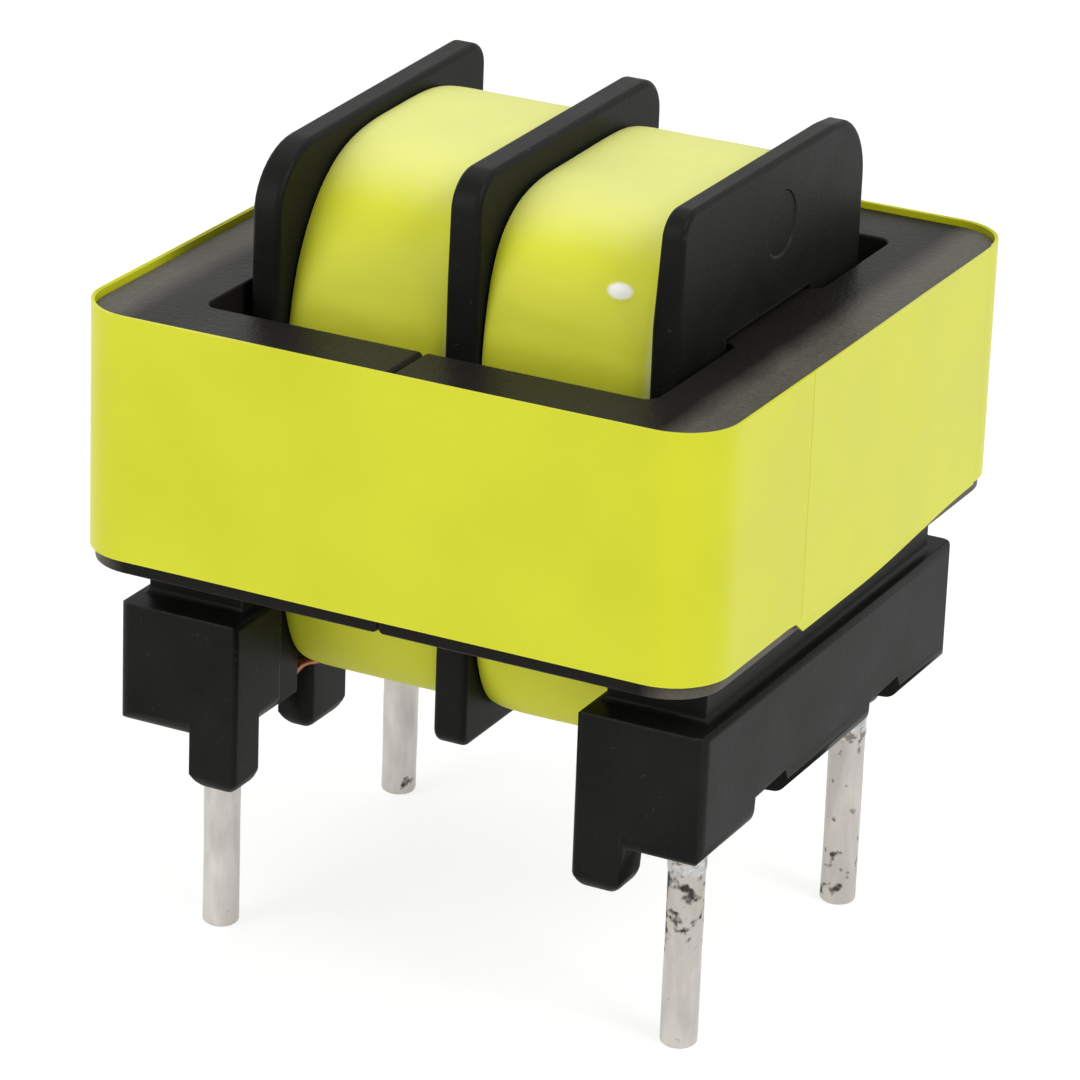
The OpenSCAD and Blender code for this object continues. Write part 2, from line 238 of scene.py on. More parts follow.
def round_edges(bm, radius, low=-math.inf, high=math.inf, room=0.0):
    """Rounds every sharp edge between two heights.

    With a room given, an edge that has a shorter edge at either of its ends stays as it is.
    """
    sharp = [e for e in bm.edges if len(e.link_faces) == 2 and e.calc_face_angle(0) > SHARP_FROM
             and all(low <= v.co.z <= high for v in e.verts)
             and all(near.calc_length() > room for v in e.verts for near in v.link_edges)]
    bmesh.ops.bevel(bm, geom=sharp, offset=radius, segments=EDGE_STEPS, profile=0.5,
                    affect="EDGES", clamp_overlap=True)


def to_metres(bm):
    bmesh.ops.scale(bm, vec=Vector((MM, MM, MM)), verts=bm.verts)


def linked_object(name, bm):
    """The mesh as an object in the scene."""
    mesh = bpy.data.meshes.new(name)
    bm.to_mesh(mesh)
    bm.free()
    made = bpy.data.objects.new(name, mesh)
    bpy.context.scene.collection.objects.link(made)
    return made


def finished(name, bm, material, nodes, sharp):
    """The mesh as a piece of the object, in metres; edges past an angle in degrees show sharp."""
    to_metres(bm)
    piece = linked_object(name, bm)
    piece.data.shade_smooth()
    piece.data.set_sharp_from_angle(angle=math.radians(sharp))
    piece.data.materials.append(material)
    normals = piece.modifiers.new("flat faces stay flat", "WEIGHTED_NORMAL")
    normals.keep_sharp = True
    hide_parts(*nodes)
    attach(piece, "root")
    return piece


def paint(piece, name, value_at):
    """Stores a number for each point of a piece, worked out from its place in millimetres."""
    stored = piece.data.attributes.new(name, "FLOAT", "POINT")
    stored.data.foreach_set("value", [value_at(v.co / MM) for v in piece.data.vertices])


# ---------------------------------------------------------------- shader nodes

def srgb(red, green, blue):
    """Linear colour of an sRGB colour given from 0 to 255."""
    def linear(c):
        c /= 255
        return c / 12.92 if c <= 0.04045 else ((c + 0.055) / 1.055) ** 2.4
    return (linear(red), linear(green), linear(blue), 1.0)


def fill(tree, socket, value):
    """Links another socket to this one, or sets its constant."""
    if isinstance(value, bpy.types.NodeSocket):
        tree.links.new(value, socket)
    else:
        socket.default_value = value


def place(tree, kind, inputs=None, **settings):
    """Adds a node with its settings, and fills or links its inputs."""
    node = tree.nodes.new(kind)
    for name, value in settings.items():
        setattr(node, name, value)
    for name, value in (inputs or {}).items():
        fill(tree, node.inputs[name], value)
    return node


def math_node(tree, operation, a, b=0.0, clamp=False):
    """One sum on sockets or constants."""
    node = place(tree, "ShaderNodeMath", {0: a, 1: b}, operation=operation, use_clamp=clamp)
    return node.outputs[0]


def ramp(tree, value, low, high, to_low=0.0, to_high=1.0):
    """The value from low to high brought to a new range, clamped."""
    return place(tree, "ShaderNodeMapRange", {
        "Value": value, "From Min": low, "From Max": high, "To Min": to_low, "To Max": to_high,
    }, clamp=True).outputs["Result"]


def blend(tree, share, a, b):
    """Colour between a and b."""
    node = place(tree, "ShaderNodeMix", data_type="RGBA", clamp_factor=True)
    for index, value in ((0, share), (6, a), (7, b)):
        fill(tree, node.inputs[index], value)
    return node.outputs[2]


def new_group(name, inputs, outputs):
    """An empty shader node group with named number inputs and named outputs."""
    tree = bpy.data.node_groups.new(name, "ShaderNodeTree")
    for label, default in inputs:
        socket = tree.interface.new_socket(label, in_out="INPUT", socket_type="NodeSocketFloat")
        socket.default_value = default
    for label in outputs:
        tree.interface.new_socket(label, in_out="OUTPUT", socket_type="NodeSocketFloat")
    given = tree.nodes.new("NodeGroupInput").outputs
    result = tree.nodes.new("NodeGroupOutput").inputs
    return tree, given, result


def use(tree, group, **values):
    """Places a group in a material with its own values; an underscore stands for a space."""
    node = place(tree, "ShaderNodeGroup", node_tree=group)
    for label, value in values.items():
        fill(tree, node.inputs[label.replace("_", " ")], value)
    return node.outputs


def object_point(tree):
    """Place on the piece in metres, in the shared frame."""
    return place(tree, "ShaderNodeTexCoord").outputs["Object"]


def grain_group():
    """Even grain of a given size in millimetres, stretched along one axis if wanted."""
    wanted = [("Size", 0.1), ("Stretch X", 1), ("Stretch Z", 1), ("Detail", 3), ("Seed", 0)]
    tree, given, result = new_group("Grain", wanted, ["Height"])
    stretch = place(tree, "ShaderNodeCombineXYZ",
                    {"X": given["Stretch X"], "Y": 1.0, "Z": given["Stretch Z"]})
    point = place(tree, "ShaderNodeVectorMath", {0: object_point(tree), 1: stretch.outputs[0]},
                  operation="DIVIDE")
    cloud = place(tree, "ShaderNodeTexNoise", {
        "Vector": point.outputs[0], "W": given["Seed"], "Detail": given["Detail"],
        "Scale": math_node(tree, "DIVIDE", 1 / MM, given["Size"]),
    }, noise_dimensions="4D")
    tree.links.new(cloud.outputs[0], result["Height"])
    return tree


def speckle_group():
    """Scattered specks of a given size in millimetres; Amount is roughly the share they cover."""
    tree, given, result = new_group("Specks", [("Size", 0.2), ("Amount", 0.2), ("Seed", 0)], ["Mask"])
    cloud = place(tree, "ShaderNodeTexNoise", {
        "Vector": object_point(tree), "W": given["Seed"], "Detail": 4.0, "Roughness": 0.65,
        "Scale": math_node(tree, "DIVIDE", 1 / MM, given["Size"]),
    }, noise_dimensions="4D")
    low = math_node(tree, "SUBTRACT", 0.68, math_node(tree, "MULTIPLY", given["Amount"], 0.4))
    high = math_node(tree, "ADD", low, 0.05)
    tree.links.new(ramp(tree, cloud.outputs[0], low, high), result["Mask"])
    return tree


def edge_group():
    """Where the surface turns within a given radius in millimetres, broken up by noise."""
    tree, given, result = new_group("Edge wear and painted highlight", [("Radius", 0.1), ("Break Up", 0.5)], ["Mask"])
    radius = math_node(tree, "MULTIPLY", given["Radius"], MM)
    around = place(tree, "ShaderNodeBevel", {"Radius": radius}, samples=6)
    straight = place(tree, "ShaderNodeNewGeometry").outputs["Normal"]
    same = place(tree, "ShaderNodeVectorMath", {0: around.outputs[0], 1: straight},
                 operation="DOT_PRODUCT")
    turned = ramp(tree, same.outputs["Value"], 0.995, 0.9)
    cloud = place(tree, "ShaderNodeTexNoise",
                  {"Vector": object_point(tree), "Scale": 4 / MM, "Detail": 3.0})
    rough = ramp(tree, cloud.outputs[0], 0.4, 0.6)
    kept = math_node(tree, "SUBTRACT", 1.0, math_node(tree, "MULTIPLY", given["Break Up"], rough))
    tree.links.new(math_node(tree, "MULTIPLY", turned, kept), result["Mask"])
    return tree


GRAIN = grain_group()
SPECKS = speckle_group()
EDGES = edge_group()


def new_material(name, metallic=0.0, ior=1.5, ior_level=0.5, coat=0.0, coat_roughness=0.1):
    """An empty material with its Principled shader, and the constant values on it."""
    material = bpy.data.materials.new(name)
    material.use_nodes = True
    tree = material.node_tree
    shader = tree.nodes["Principled BSDF"]
    shader.inputs["Metallic"].default_value = metallic
    shader.inputs["IOR"].default_value = ior
    shader.inputs["Specular IOR Level"].default_value = ior_level
    shader.inputs["Coat Weight"].default_value = coat
    shader.inputs["Coat Roughness"].default_value = coat_roughness
    return material, tree, shader


def finish(tree, shader, colour, roughness, height, depth, metallic=None):
    """Links colour, roughness and relief; depth is the relief's size in millimetres."""
    tree.links.new(colour, shader.inputs["Base Color"])
    tree.links.new(roughness, shader.inputs["Roughness"])
    if metallic is not None:
        tree.links.new(metallic, shader.inputs["Metallic"])
    bump = place(tree, "ShaderNodeBump", {"Strength": 1.0, "Distance": depth * MM, "Height": height})
    tree.links.new(bump.outputs[0], shader.inputs["Normal"])


def bobbin_plastic():
    """Black moulded plastic: fine spark-eroded grain, faint flow clouds, rubbed edges."""
    material, tree, shader = new_material("bobbin_plastic", ior=1.35, ior_level=0.12)
    fine = use(tree, GRAIN, Size=0.045, Detail=2)["Height"]
    cloud = use(tree, GRAIN, Size=1.6, Detail=4, Seed=3)["Height"]
    worn = use(tree, EDGES, Radius=0.12, Break_Up=0.6)["Mask"]
    dust = use(tree, SPECKS, Size=0.12, Amount=0.08, Seed=8)["Mask"]
    body = blend(tree, ramp(tree, cloud, 0.3, 0.7), srgb(19, 20, 18), srgb(28, 29, 26))
    rubbed = blend(tree, math_node(tree, "MULTIPLY", worn, 0.4), body, srgb(66, 67, 64))
    colour = blend(tree, math_node(tree, "MULTIPLY", dust, 0.12), rubbed, srgb(120, 120, 116))
    roughness = ramp(tree, cloud, 0.3, 0.7, 0.36, 0.46)
    finish(tree, shader, colour, roughness, fine, 0.006)
    return material


def ferrite():
    """Sintered ferrite: dark grey grain, pale specks, chipped edges, and painted shade on its inner part
    beside the flanges, near the window.
    """
    material, tree, shader = new_material("ferrite", ior=1.15)
    grain = use(tree, GRAIN, Size=0.09, Detail=5)["Height"]
    cloud = use(tree, GRAIN, Size=2.2, Detail=4, Seed=5)["Height"]
    specks = use(tree, SPECKS, Size=0.16, Amount=0.22, Seed=2)["Mask"]
    chips = use(tree, EDGES, Radius=0.14, Break_Up=0.9)["Mask"]
    # painted shade from the flanges: the ferrite goes nearly black where |x| is under about 6.1 to 6.7 mm
    across = place(tree, "ShaderNodeSeparateXYZ", {"Vector": object_point(tree)}).outputs["X"]
    inside = math_node(tree, "ADD", math_node(tree, "ABSOLUTE", across),
                       math_node(tree, "MULTIPLY", cloud, SHADE_BAND_WAVER * MM))
    painted_shade = ramp(tree, inside, SHADE_BAND_X[0] * MM, SHADE_BAND_X[1] * MM, 0.95, 0.0)
    body = blend(tree, ramp(tree, cloud, 0.3, 0.7), srgb(74, 71, 63), srgb(88, 85, 75))
    grained = blend(tree, ramp(tree, grain, 0.35, 0.65, 0.0, 0.5), body, srgb(100, 97, 88))
    specked = blend(tree, math_node(tree, "MULTIPLY", specks, 0.4), grained, srgb(104, 100, 92))
    chipped = blend(tree, math_node(tree, "MULTIPLY", chips, 0.5), specked, srgb(112, 108, 100))
    colour = blend(tree, painted_shade, chipped, srgb(20, 19, 18))
    roughness = ramp(tree, cloud, 0.3, 0.7, 0.3, 0.42)
    finish(tree, shader, colour, roughness, grain, 0.012)
    return material


def blister_highlight_mask(tree):
    """1 in the blister in the front of the right coil's tape, fading at its rim; a painted highlight goes
    there.
    """
    at = place(tree, "ShaderNodeSeparateXYZ", {"Vector": object_point(tree)}).outputs
    reach = 0.0
    for axis, centre, half in zip("XZ", BLISTER_AT, BLISTER_SIZE):
        away = math_node(tree, "SUBTRACT", at[axis], centre * MM)
        off = math_node(tree, "MULTIPLY", away, 1 / (half * MM))
        reach = math_node(tree, "ADD", reach, math_node(tree, "MULTIPLY", off, off))
    front = math_node(tree, "LESS_THAN", at["Y"], 0.0)
    return math_node(tree, "MULTIPLY", ramp(tree, reach, 0.35, 0.85, 1.0, 0.0), front)


def film(name, low, high, edge, ripple, seed, shine=(0.3, 0.4), blister_highlight=False):
    """Yellow polyester film over its adhesive: two close tones, soft ripples, and a painted highlight that
    makes its edges pale.

    Where the piece has a number stored as pale, a painted sheen, it is nearly white, and so is the painted
    highlight in the blister when that is asked for.
    """
    material, tree, shader = new_material(name, ior_level=0.35)
    cloud = use(tree, GRAIN, Size=2.6, Detail=3, Seed=seed)["Height"]
    wave = use(tree, GRAIN, Size=0.8, Stretch_X=2.5, Detail=2, Seed=seed + 1)["Height"]
    specks = use(tree, SPECKS, Size=0.22, Amount=0.1, Seed=seed + 2)["Mask"]
    rim = use(tree, EDGES, Radius=0.05, Break_Up=0.2)["Mask"]
    pale = place(tree, "ShaderNodeAttribute", attribute_name="pale").outputs["Fac"]
    body = blend(tree, ramp(tree, cloud, 0.3, 0.7), low, high)
    dotted = blend(tree, math_node(tree, "MULTIPLY", specks, 0.1), body, edge)
    # painted highlight: the film's edges are blended towards the pale edge colour, which also colours its
    # real specks
    rimmed = blend(tree, math_node(tree, "MULTIPLY", rim, 0.25), dotted, edge)
    # painted highlight in the blister, on top of the painted sheen
    if blister_highlight:
        pale = math_node(tree, "MAXIMUM", pale, blister_highlight_mask(tree))
    colour = blend(tree, pale, rimmed, srgb(252, 253, 244))
    finish(tree, shader, colour, ramp(tree, cloud, 0.3, 0.7, *shine), wave, ripple)
    return material


def copper(name, low, high, burnt=False):
    """Enamelled copper wire; where it is burnt by soldering, its enamel is nearly black."""
    material, tree, shader = new_material(name, metallic=0.9, coat=0.4, coat_roughness=0.08)
    cloud = use(tree, GRAIN, Size=0.7, Detail=4, Seed=1)["Height"]
    fine = use(tree, GRAIN, Size=0.08, Detail=3, Seed=2)["Height"]
    colour = blend(tree, ramp(tree, cloud, 0.3, 0.7), low, high)
    metallic = None
    if burnt:
        heat = place(tree, "ShaderNodeAttribute", attribute_name="burnt").outputs["Fac"]
        colour = blend(tree, heat, colour, srgb(40, 33, 28))
        metallic = ramp(tree, heat, 0, 1, 0.9, 0.1)
    finish(tree, shader, colour, ramp(tree, cloud, 0.3, 0.7, 0.28, 0.42), fine, 0.006, metallic)
    return material


def pin_metal():
    """Dull tinned wire with runs in the tin and dark flux where the joint was made."""
    material, tree, shader = new_material("pin_metal")
    runs = use(tree, GRAIN, Size=0.3, Stretch_Z=3.5, Detail=4, Seed=4)["Height"]
    fine = use(tree, GRAIN, Size=0.07, Detail=3, Seed=9)["Height"]
    stain = place(tree, "ShaderNodeAttribute", attribute_name="flux").outputs["Fac"]
    blots = use(tree, GRAIN, Size=0.28, Detail=5, Seed=7)["Height"]
    edge = math_node(tree, "SUBTRACT", 0.76, math_node(tree, "MULTIPLY", stain, 0.25))
    dark = math_node(tree, "MULTIPLY", math_node(tree, "SUBTRACT", blots, edge), 11.0, clamp=True)
    tin = blend(tree, ramp(tree, runs, 0.3, 0.7), srgb(186, 182, 176), srgb(214, 211, 206))
    film_on = blend(tree, math_node(tree, "MULTIPLY", stain, 0.35, clamp=True), tin, srgb(150, 138, 122))
    colour = blend(tree, dark, film_on, srgb(44, 36, 32))
    roughness = math_node(tree, "ADD", ramp(tree, runs, 0.3, 0.7, 0.32, 0.46),
                          math_node(tree, "MULTIPLY", dark, 0.2))
    metallic = math_node(tree, "SUBTRACT", 0.85, math_node(tree, "MULTIPLY", dark, 0.8))
    finish(tree, shader, colour, roughness, math_node(tree, "ADD", fine, runs), 0.008, metallic)
    return material


def solder():
    """Tin solder: bright, with cooling ripples and flux at its rim."""
    material, tree, shader = new_material("solder", metallic=0.9)
    ripple = use(tree, GRAIN, Size=0.16, Detail=3, Seed=6)["Height"]
    flux = use(tree, SPECKS, Size=0.4, Amount=0.45, Seed=5)["Mask"]
    body = blend(tree, ramp(tree, ripple, 0.3, 0.7), srgb(168, 167, 164), srgb(212, 211, 208))
    colour = blend(tree, math_node(tree, "MULTIPLY", flux, 0.7), body, srgb(92, 70, 44))
    finish(tree, shader, colour, ramp(tree, ripple, 0.3, 0.7, 0.25, 0.42), ripple, 0.02)
    return material


# ---------------------------------------------------------------- bobbin and core

def in_middle(x):
    return abs(x) < MID_FLANGE_X + MID_SLACK


def shape_flanges(bm):
    """Gives the upper flanges their draft, their real ends and top edges that rise towards the back."""
    bmesh.ops.bisect_plane(bm, geom=bm.verts[:] + bm.edges[:] + bm.faces[:], dist=0.0001,
                           plane_co=(0, 0, DRAFT_FROM), plane_no=(0, 0, 1))
    for v in bm.verts:
        x, y, z = v.co
        if z < SET_BACK_FROM or (abs(y) < LONGER_FROM and z <= DRAFT_FROM):
            continue
        flange = "middle" if in_middle(x) else "right" if x > 0 else "left"
        rise = max(0.0, (z - DRAFT_FROM) / (FLANGE_TOP - DRAFT_FROM))
        if flange != "middle" and LONGER_FROM <= y <= PLATE_Y:
            v.co.y += LEFT_LONGER if flange == "left" else RIGHT_LONGER
        drop, slope = TOP_DROP[flange]
        v.co.z -= rise * max(0.0, drop - slope * v.co.y)
        if flange == "middle":
            v.co.x -= MID_DRAFT * rise * x / MID_FLANGE_X
            v.co.y += MID_BACK_REACH * rise * max(0.0, y) / MID_BACK_Y
        elif flange == "right":
            v.co.x += END_DRAFT * rise * (1 - (x - FLANGE_IN) / FLANGE_T)


def shape_rails(bm):
    """Lets the feet, the middle flange and the underside of the right rail stand a little lower."""
    for v in bm.verts:
        x, y, z = v.co
        if in_middle(x):
            v.co.x += MID_OFF
            if z < MID_LOW:
                v.co.z -= MID_LONGER
        elif z < FOOT_Z + FOOT_BAND:
            v.co.z -= FOOT_DROP["right" if x > 0 else "left"]
        elif x > 0 and RAIL_Z - RAIL_SLACK < z < RAIL_Z + RAIL_BAND:
            share = 1 - (z - RAIL_Z) / RAIL_BAND
            v.co.z -= share * (CORNER_DROP if y < CORNER_Y else RIGHT_RAIL_DROP)


def cut_recess(piece, centre, radius, depth):
    """A shallow round ejector mark in a face that looks along +X."""
    bm = bmesh.new()
    rings = []
    angles = [TURN * i / EJECTOR_STEPS for i in range(EJECTOR_STEPS)]
    for x, r in ((-depth, radius - depth), (depth, radius + depth)):
        rings.append([centre + Vector((x, r * math.cos(a), r * math.sin(a))) for a in angles])
    skin(bm, rings, caps=True)
    to_metres(bm)
    cutter = linked_object("ejector mark", bm)
    cut = piece.modifiers.new("ejector mark", "BOOLEAN")
    cut.operation = "DIFFERENCE"
    cut.solver = "EXACT"
    cut.object = cutter
    piece.modifiers.move(len(piece.modifiers) - 1, 0)
    graph = bpy.context.evaluated_depsgraph_get()
    piece.data = bpy.data.meshes.new_from_object(piece.evaluated_get(graph))
    piece.modifiers.clear()
    bpy.data.objects.remove(cutter)


def make_bobbin():
    """The moulding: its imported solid, reshaped a little and with rounded edges."""
    bm = solid_of("bobbin")
    shape_flanges(bm)
    shape_rails(bm)
    round_edges(bm, RAIL_EDGE_R, high=EDGES_CHANGE_Z, room=RAIL_EDGE_ROOM)
    round_edges(bm, MOULD_EDGE_R, low=EDGES_CHANGE_Z)
    piece = finished("bobbin_moulding", bm, bobbin_plastic(), ["bobbin"], sharp=40)
    face_x = FLANGE_IN + FLANGE_T
    cut_recess(piece, Vector((face_x, *EJECTOR_AT)), EJECTOR_R, EJECTOR_DEPTH)


def make_core():
    """Both halves of the core, with their undersides lifted a little."""
    material = ferrite()
    for side in ("left", "right"):
        bm = solid_of("core_" + side)
        for v in bm.verts:
            if v.co.z < CORE_LOW:
                v.co.z += CORE_LIFT
        round_edges(bm, CORE_EDGE_R)
        finished("ferrite_" + side, bm, material, ["core_" + side], sharp=40)


# ---------------------------------------------------------------- tape round the core

def ring_path(half_x, half_y, radius, step):
    """Points and outward normals once round a rounded rectangle.

    It starts at the back end of the right side and runs round the back, left, front and right.
    """
    sx, sy = half_x - radius, half_y - radius
    path = []

    def straight(a, b, normal):
        count = max(2, round((b - a).length / step))
        path.extend((a.lerp(b, i / count), normal) for i in range(count))

    def corner(centre, start):
        for i in range(CORNER_STEPS):
            angle = start + math.pi / 2 * i / CORNER_STEPS
            normal = Vector((math.cos(angle), math.sin(angle)))
            path.append((centre + normal * radius, normal))

    corner(Vector((sx, sy)), 0)
    straight(Vector((sx, half_y)), Vector((-sx, half_y)), Vector((0, 1)))
    corner(Vector((-sx, sy)), math.pi / 2)
    straight(Vector((-half_x, sy)), Vector((-half_x, -sy)), Vector((-1, 0)))
    corner(Vector((-sx, -sy)), math.pi)
    straight(Vector((-sx, -half_y)), Vector((sx, -half_y)), Vector((0, -1)))
    corner(Vector((sx, -sy)), 3 * math.pi / 2)
    straight(Vector((half_x, -sy)), Vector((half_x, sy)), Vector((1, 0)))
    return path


def film_slip(turn, point, normal):
    """How far the full turns have slipped below the end of the strip, beside it."""
    if turn >= FILM_TURNS - 1 or normal.x < FACES_RIGHT:
        return 0.0
    y = point.y
    return SLIP * smoothstep(LAST_END_Y - SLIP_RAMP, LAST_END_Y, y) * (1 - smoothstep(0, SLIP_GONE_Y, y))


def make_core_tape():
    """One strip of film wound twice round both halves; its end doubles back along the right side."""
    half_x, half_y = box_mm("core_right")[1].xy
    top = box_mm("core_tape")[1].z
    bottom = top - FILM_W
    once = ring_path(half_x, half_y, CORNER_R, FILM_STEP)
    count = len(once)
    stations = []
    for k in range(count * FILM_TURNS + 1):
        turn, i = divmod(k, count)
        point, normal = once[i]
        if turn == FILM_TURNS - 1 and normal.x > FACES_RIGHT and point.y > LAST_END_Y:
            stations.append((k, turn, Vector((half_x, LAST_END_Y)), normal))
            break
        stations.append((k, turn, point, normal))
    rows = []
    for k, turn, point, normal in stations:
        out = FILM_FIT + FILM_T * k / count
        wander = FILM_WANDER * noise.noise(Vector((k * FILM_WANDER_RATE, 3.7, 0)))
        inner_turn = (FILM_TURNS - 1 - turn) * TURN_INSET
        z0 = bottom - film_slip(turn, point, normal) + abs(wander) + inner_turn
        z1 = top - abs(wander) - inner_turn
        outside = [(i / FILM_ROWS, out + FILM_T * FILM_PRESSED) for i in range(FILM_ROWS + 1)]
        inside = [(i / FILM_ROWS, out) for i in range(FILM_ROWS, -1, -1)]
        ring = []
        for share, at in outside + inside:
            p = point + normal * at
            ring.append(Vector((p.x, p.y, mix(z0, z1, share))))
        rows.append(ring)
    bm = bmesh.new()
    skin(bm, rows, caps=True)
    material = film("core_tape", srgb(206, 209, 25), srgb(213, 216, 35), srgb(226, 229, 100), 0.01, 11)
    finished("core_tape_film", bm, material, ["core_tape"], sharp=40)


# ---------------------------------------------------------------- coils

def superellipse(angle, a, b, power):
    """A point on an ellipse that a higher power makes squarer."""
    c, s = math.cos(angle), math.sin(angle)
    x, y = a * abs(c) ** (2 / power), b * abs(s) ** (2 / power)
    return Vector((math.copysign(x, c), math.copysign(y, s)))


def coil_outline(side, share, depth, low_z, margin):
    """Section of a coil at a share of the way from the middle flange to the end flange.

    Returns evenly spaced points (y, z) with their outward normals.
    """
    top = COIL_TOP[side]
    middle = (top + low_z) / 2
    front = mix(*COIL_FRONT_POWER[side], share)
    half = (top - low_z) / 2 + margin
    dense = []
    for i in range(COIL_OUTLINE_STEPS):
        angle = TURN * i / COIL_OUTLINE_STEPS
        up, back = math.sin(angle) > 0, math.cos(angle) > 0
        power = COIL_LOW_POWER if not up else COIL_BACK_POWER if back else front
        p = superellipse(angle, depth + margin, half, power)
        dense.append(Vector((p.x, middle + p.y + (COIL_TILT * p.x * max(0.0, p.y) / half))))
    dense.append(dense[0])
    lengths = [0.0]
    for a, b in zip(dense, dense[1:]):
        lengths.append(lengths[-1] + (b - a).length)
    points, j = [], 0
    for i in range(COIL_POINTS):
        want = lengths[-1] * i / COIL_POINTS
        while lengths[j + 1] < want:
            j += 1
        points.append(dense[j].lerp(dense[j + 1], (want - lengths[j]) / (lengths[j + 1] - lengths[j])))
    outline = []
    for i, p in enumerate(points):
        along = points[(i + 1) % COIL_POINTS] - points[i - 1]
        outline.append((p, Vector((along.y, -along.x)).normalized()))
    return outline


def coil_relief(side, share, point, angle):
    """Rise of the coil's tape above its plain form: shoulders, soft folds, the lap and a blister.

    The angle is the share of the way round the coil.
    """
    edge = abs(2 * share - 1)
    rise = -SHOULDER * edge ** 10
    soft = noise.noise(Vector((point.x * 0.45, point.y * 0.5, point.z * 0.5)))
    folds = noise.noise(Vector((point.x * 0.7 + 9, point.y * 2.6, point.z * 2.6 + point.x * 0.5)))
    rise += SOFT_RISE * soft + FOLD_RISE * folds * (1 - edge ** 4)
    rise -= LAP_STEP * ((angle - LAP_AT) % 1.0)
    if side == "right":
        rise += BLISTER_RISE * blister(point) ** 2
    return rise


def blister(point):
    """1 in the middle of the blister in the right coil's tape, 0 outside it."""
    u, w = (point.x - BLISTER_AT[0]) / BLISTER_SIZE[0], (point.z - BLISTER_AT[1]) / BLISTER_SIZE[1]
    return max(0.0, 1 - u * u - w * w) if point.y < 0 else 0.0


def coil_painted_sheen(side, point):
    """How much painted sheen the tape gets: a painted highlight along one rim and painted sheen where it
    lies flat on top.
    """
    sheen = TOP_SHEEN * smoothstep(*SHEEN_Z, point.z)
    return max(sheen, RIM_SHEEN * smoothstep(*RIM_X[side], point.x))


def coil_rims(side, node):
    """X of a coil's rims, beside the middle flange and beside its end flange."""
    low, high = box_mm(node)
    near, far = (high.x, low.x) if side == "left" else (low.x, high.x)
    return near + MID_OFF, far


def make_coil_tapes():
    """The tape round each coil, as a closed band with the winding inside it."""
    material = film("coil_tape", srgb(209, 212, 38), srgb(219, 222, 56), srgb(234, 238, 150), 0.02, 21,
                    (0.5, 0.6), blister_highlight=True)
    for side in ("left", "right"):
        low, high = box_mm("coil_tape_" + side)
        near, far = coil_rims(side, "coil_tape_" + side)
        rows = []
        for k in range(COIL_STATIONS + 1):
            share = 0.5 - 0.5 * math.cos(math.pi * k / COIL_STATIONS)
            x = mix(near, far, share)
            row = []
            for i, (p, n) in enumerate(coil_outline(side, share, high.y, low.z, -COIL_MARGIN)):
                spot = Vector((x, p.x, p.y))
                rise = coil_relief(side, share, spot, i / COIL_POINTS)
                row.append(spot + Vector((0, n.x, n.y)) * rise)
            rows.append(row)
        for share in (1, 0.5, 0):
            x = mix(near, far, share)
            rows.append([Vector((x, p.x, p.y)) for p, n in
                         coil_outline(side, share, high.y, low.z, -COIL_TAPE_T - SHOULDER)])
        bm = bmesh.new()
        skin(bm, rows, closed_rows=True)
        piece = finished("coil_wrap_" + side, bm, material, ["coil_tape_" + side], sharp=60)
        # the painted sheen and rim highlight are stored as pale
        paint(piece, "pale", lambda p: coil_painted_sheen(side, p))


# ---------------------------------------------------------------- pins, leads and joints

def lathe(bm, centre, profile, count, wobble=None, closed=False):
    """Turns a profile of (radius, z) round an upright axis."""
    rows = []
    for r, z in profile:
        row = []
        for i in range(count):
            angle = TURN * i / count
            reach = r + (wobble(angle, z) if wobble else 0)
            row.append(Vector((centre.x + reach * math.cos(angle), centre.y + reach * math.sin(angle), z)))
        rows.append(row)
    skin(bm, rows, closed_rows=closed, caps=not closed)


def pin_flux(quarter, z):
    """How much flux has run down a pin at a height."""
    if quarter == "front_right":
        return 0.4 + 0.6 * smoothstep(1.4, 3.4, z)
    if quarter == "back_right":
        return 0.5 + 0.4 * (1 - smoothstep(0.6, 2.0, z)) + 0.35 * smoothstep(3.0, 4.0, z)
    if quarter == "front_left":
        return 0.3 + 0.6 * smoothstep(2.8, 4.0, z)
    return 0.35 + 0.4 * (1 - smoothstep(0.2, 0.9, z))


def make_pins():
    """Four round pins, slightly dented, with a rounded tip and a slightly thinner stem from the joint up."""
    material = pin_metal()
    tip_angles = [math.pi / 2 * i / PIN_TIP_STEPS for i in range(PIN_TIP_STEPS + 1)]
    rows = math.ceil((JOINT_LOW - PIN_TIP_R) / PIN_STEP)
    neck = PIN_R - PIN_NECK
    for quarter, (sx, sy) in QUARTERS.items():
        centre = Vector((sx * PIN_X, sy * PIN_Y, 0))
        top = box_mm("pin_" + quarter)[1].z
        profile = [(PIN_R - PIN_TIP_R * (1 - math.sin(a)), PIN_TIP_R * (1 - math.cos(a)))
                   for a in tip_angles]
        profile += [(PIN_R, PIN_TIP_R + PIN_STEP * i) for i in range(1, rows)]
        profile += [(PIN_R, JOINT_LOW), (neck, JOINT_LOW + PIN_NECK_RAMP), (neck, top - PIN_TIP_R),
                    (neck - PIN_TIP_R, top)]
        bm = bmesh.new()

        def wobble(angle, z):
            flat = math.cos(angle) * 1.5, math.sin(angle) * 1.5
            depth = noise.noise(Vector((flat[0] + 7 * sx, flat[1] + 5 * sy, z * 0.9))) - 0.45
            return PIN_DENT * min(0.0, depth)

        lathe(bm, centre, profile, PIN_SIDES, wobble)
        piece = finished("pin_wire_" + quarter, bm, material, ["pin_" + quarter], sharp=60)
        paint(piece, "flux", lambda p: pin_flux(quarter, p.z))


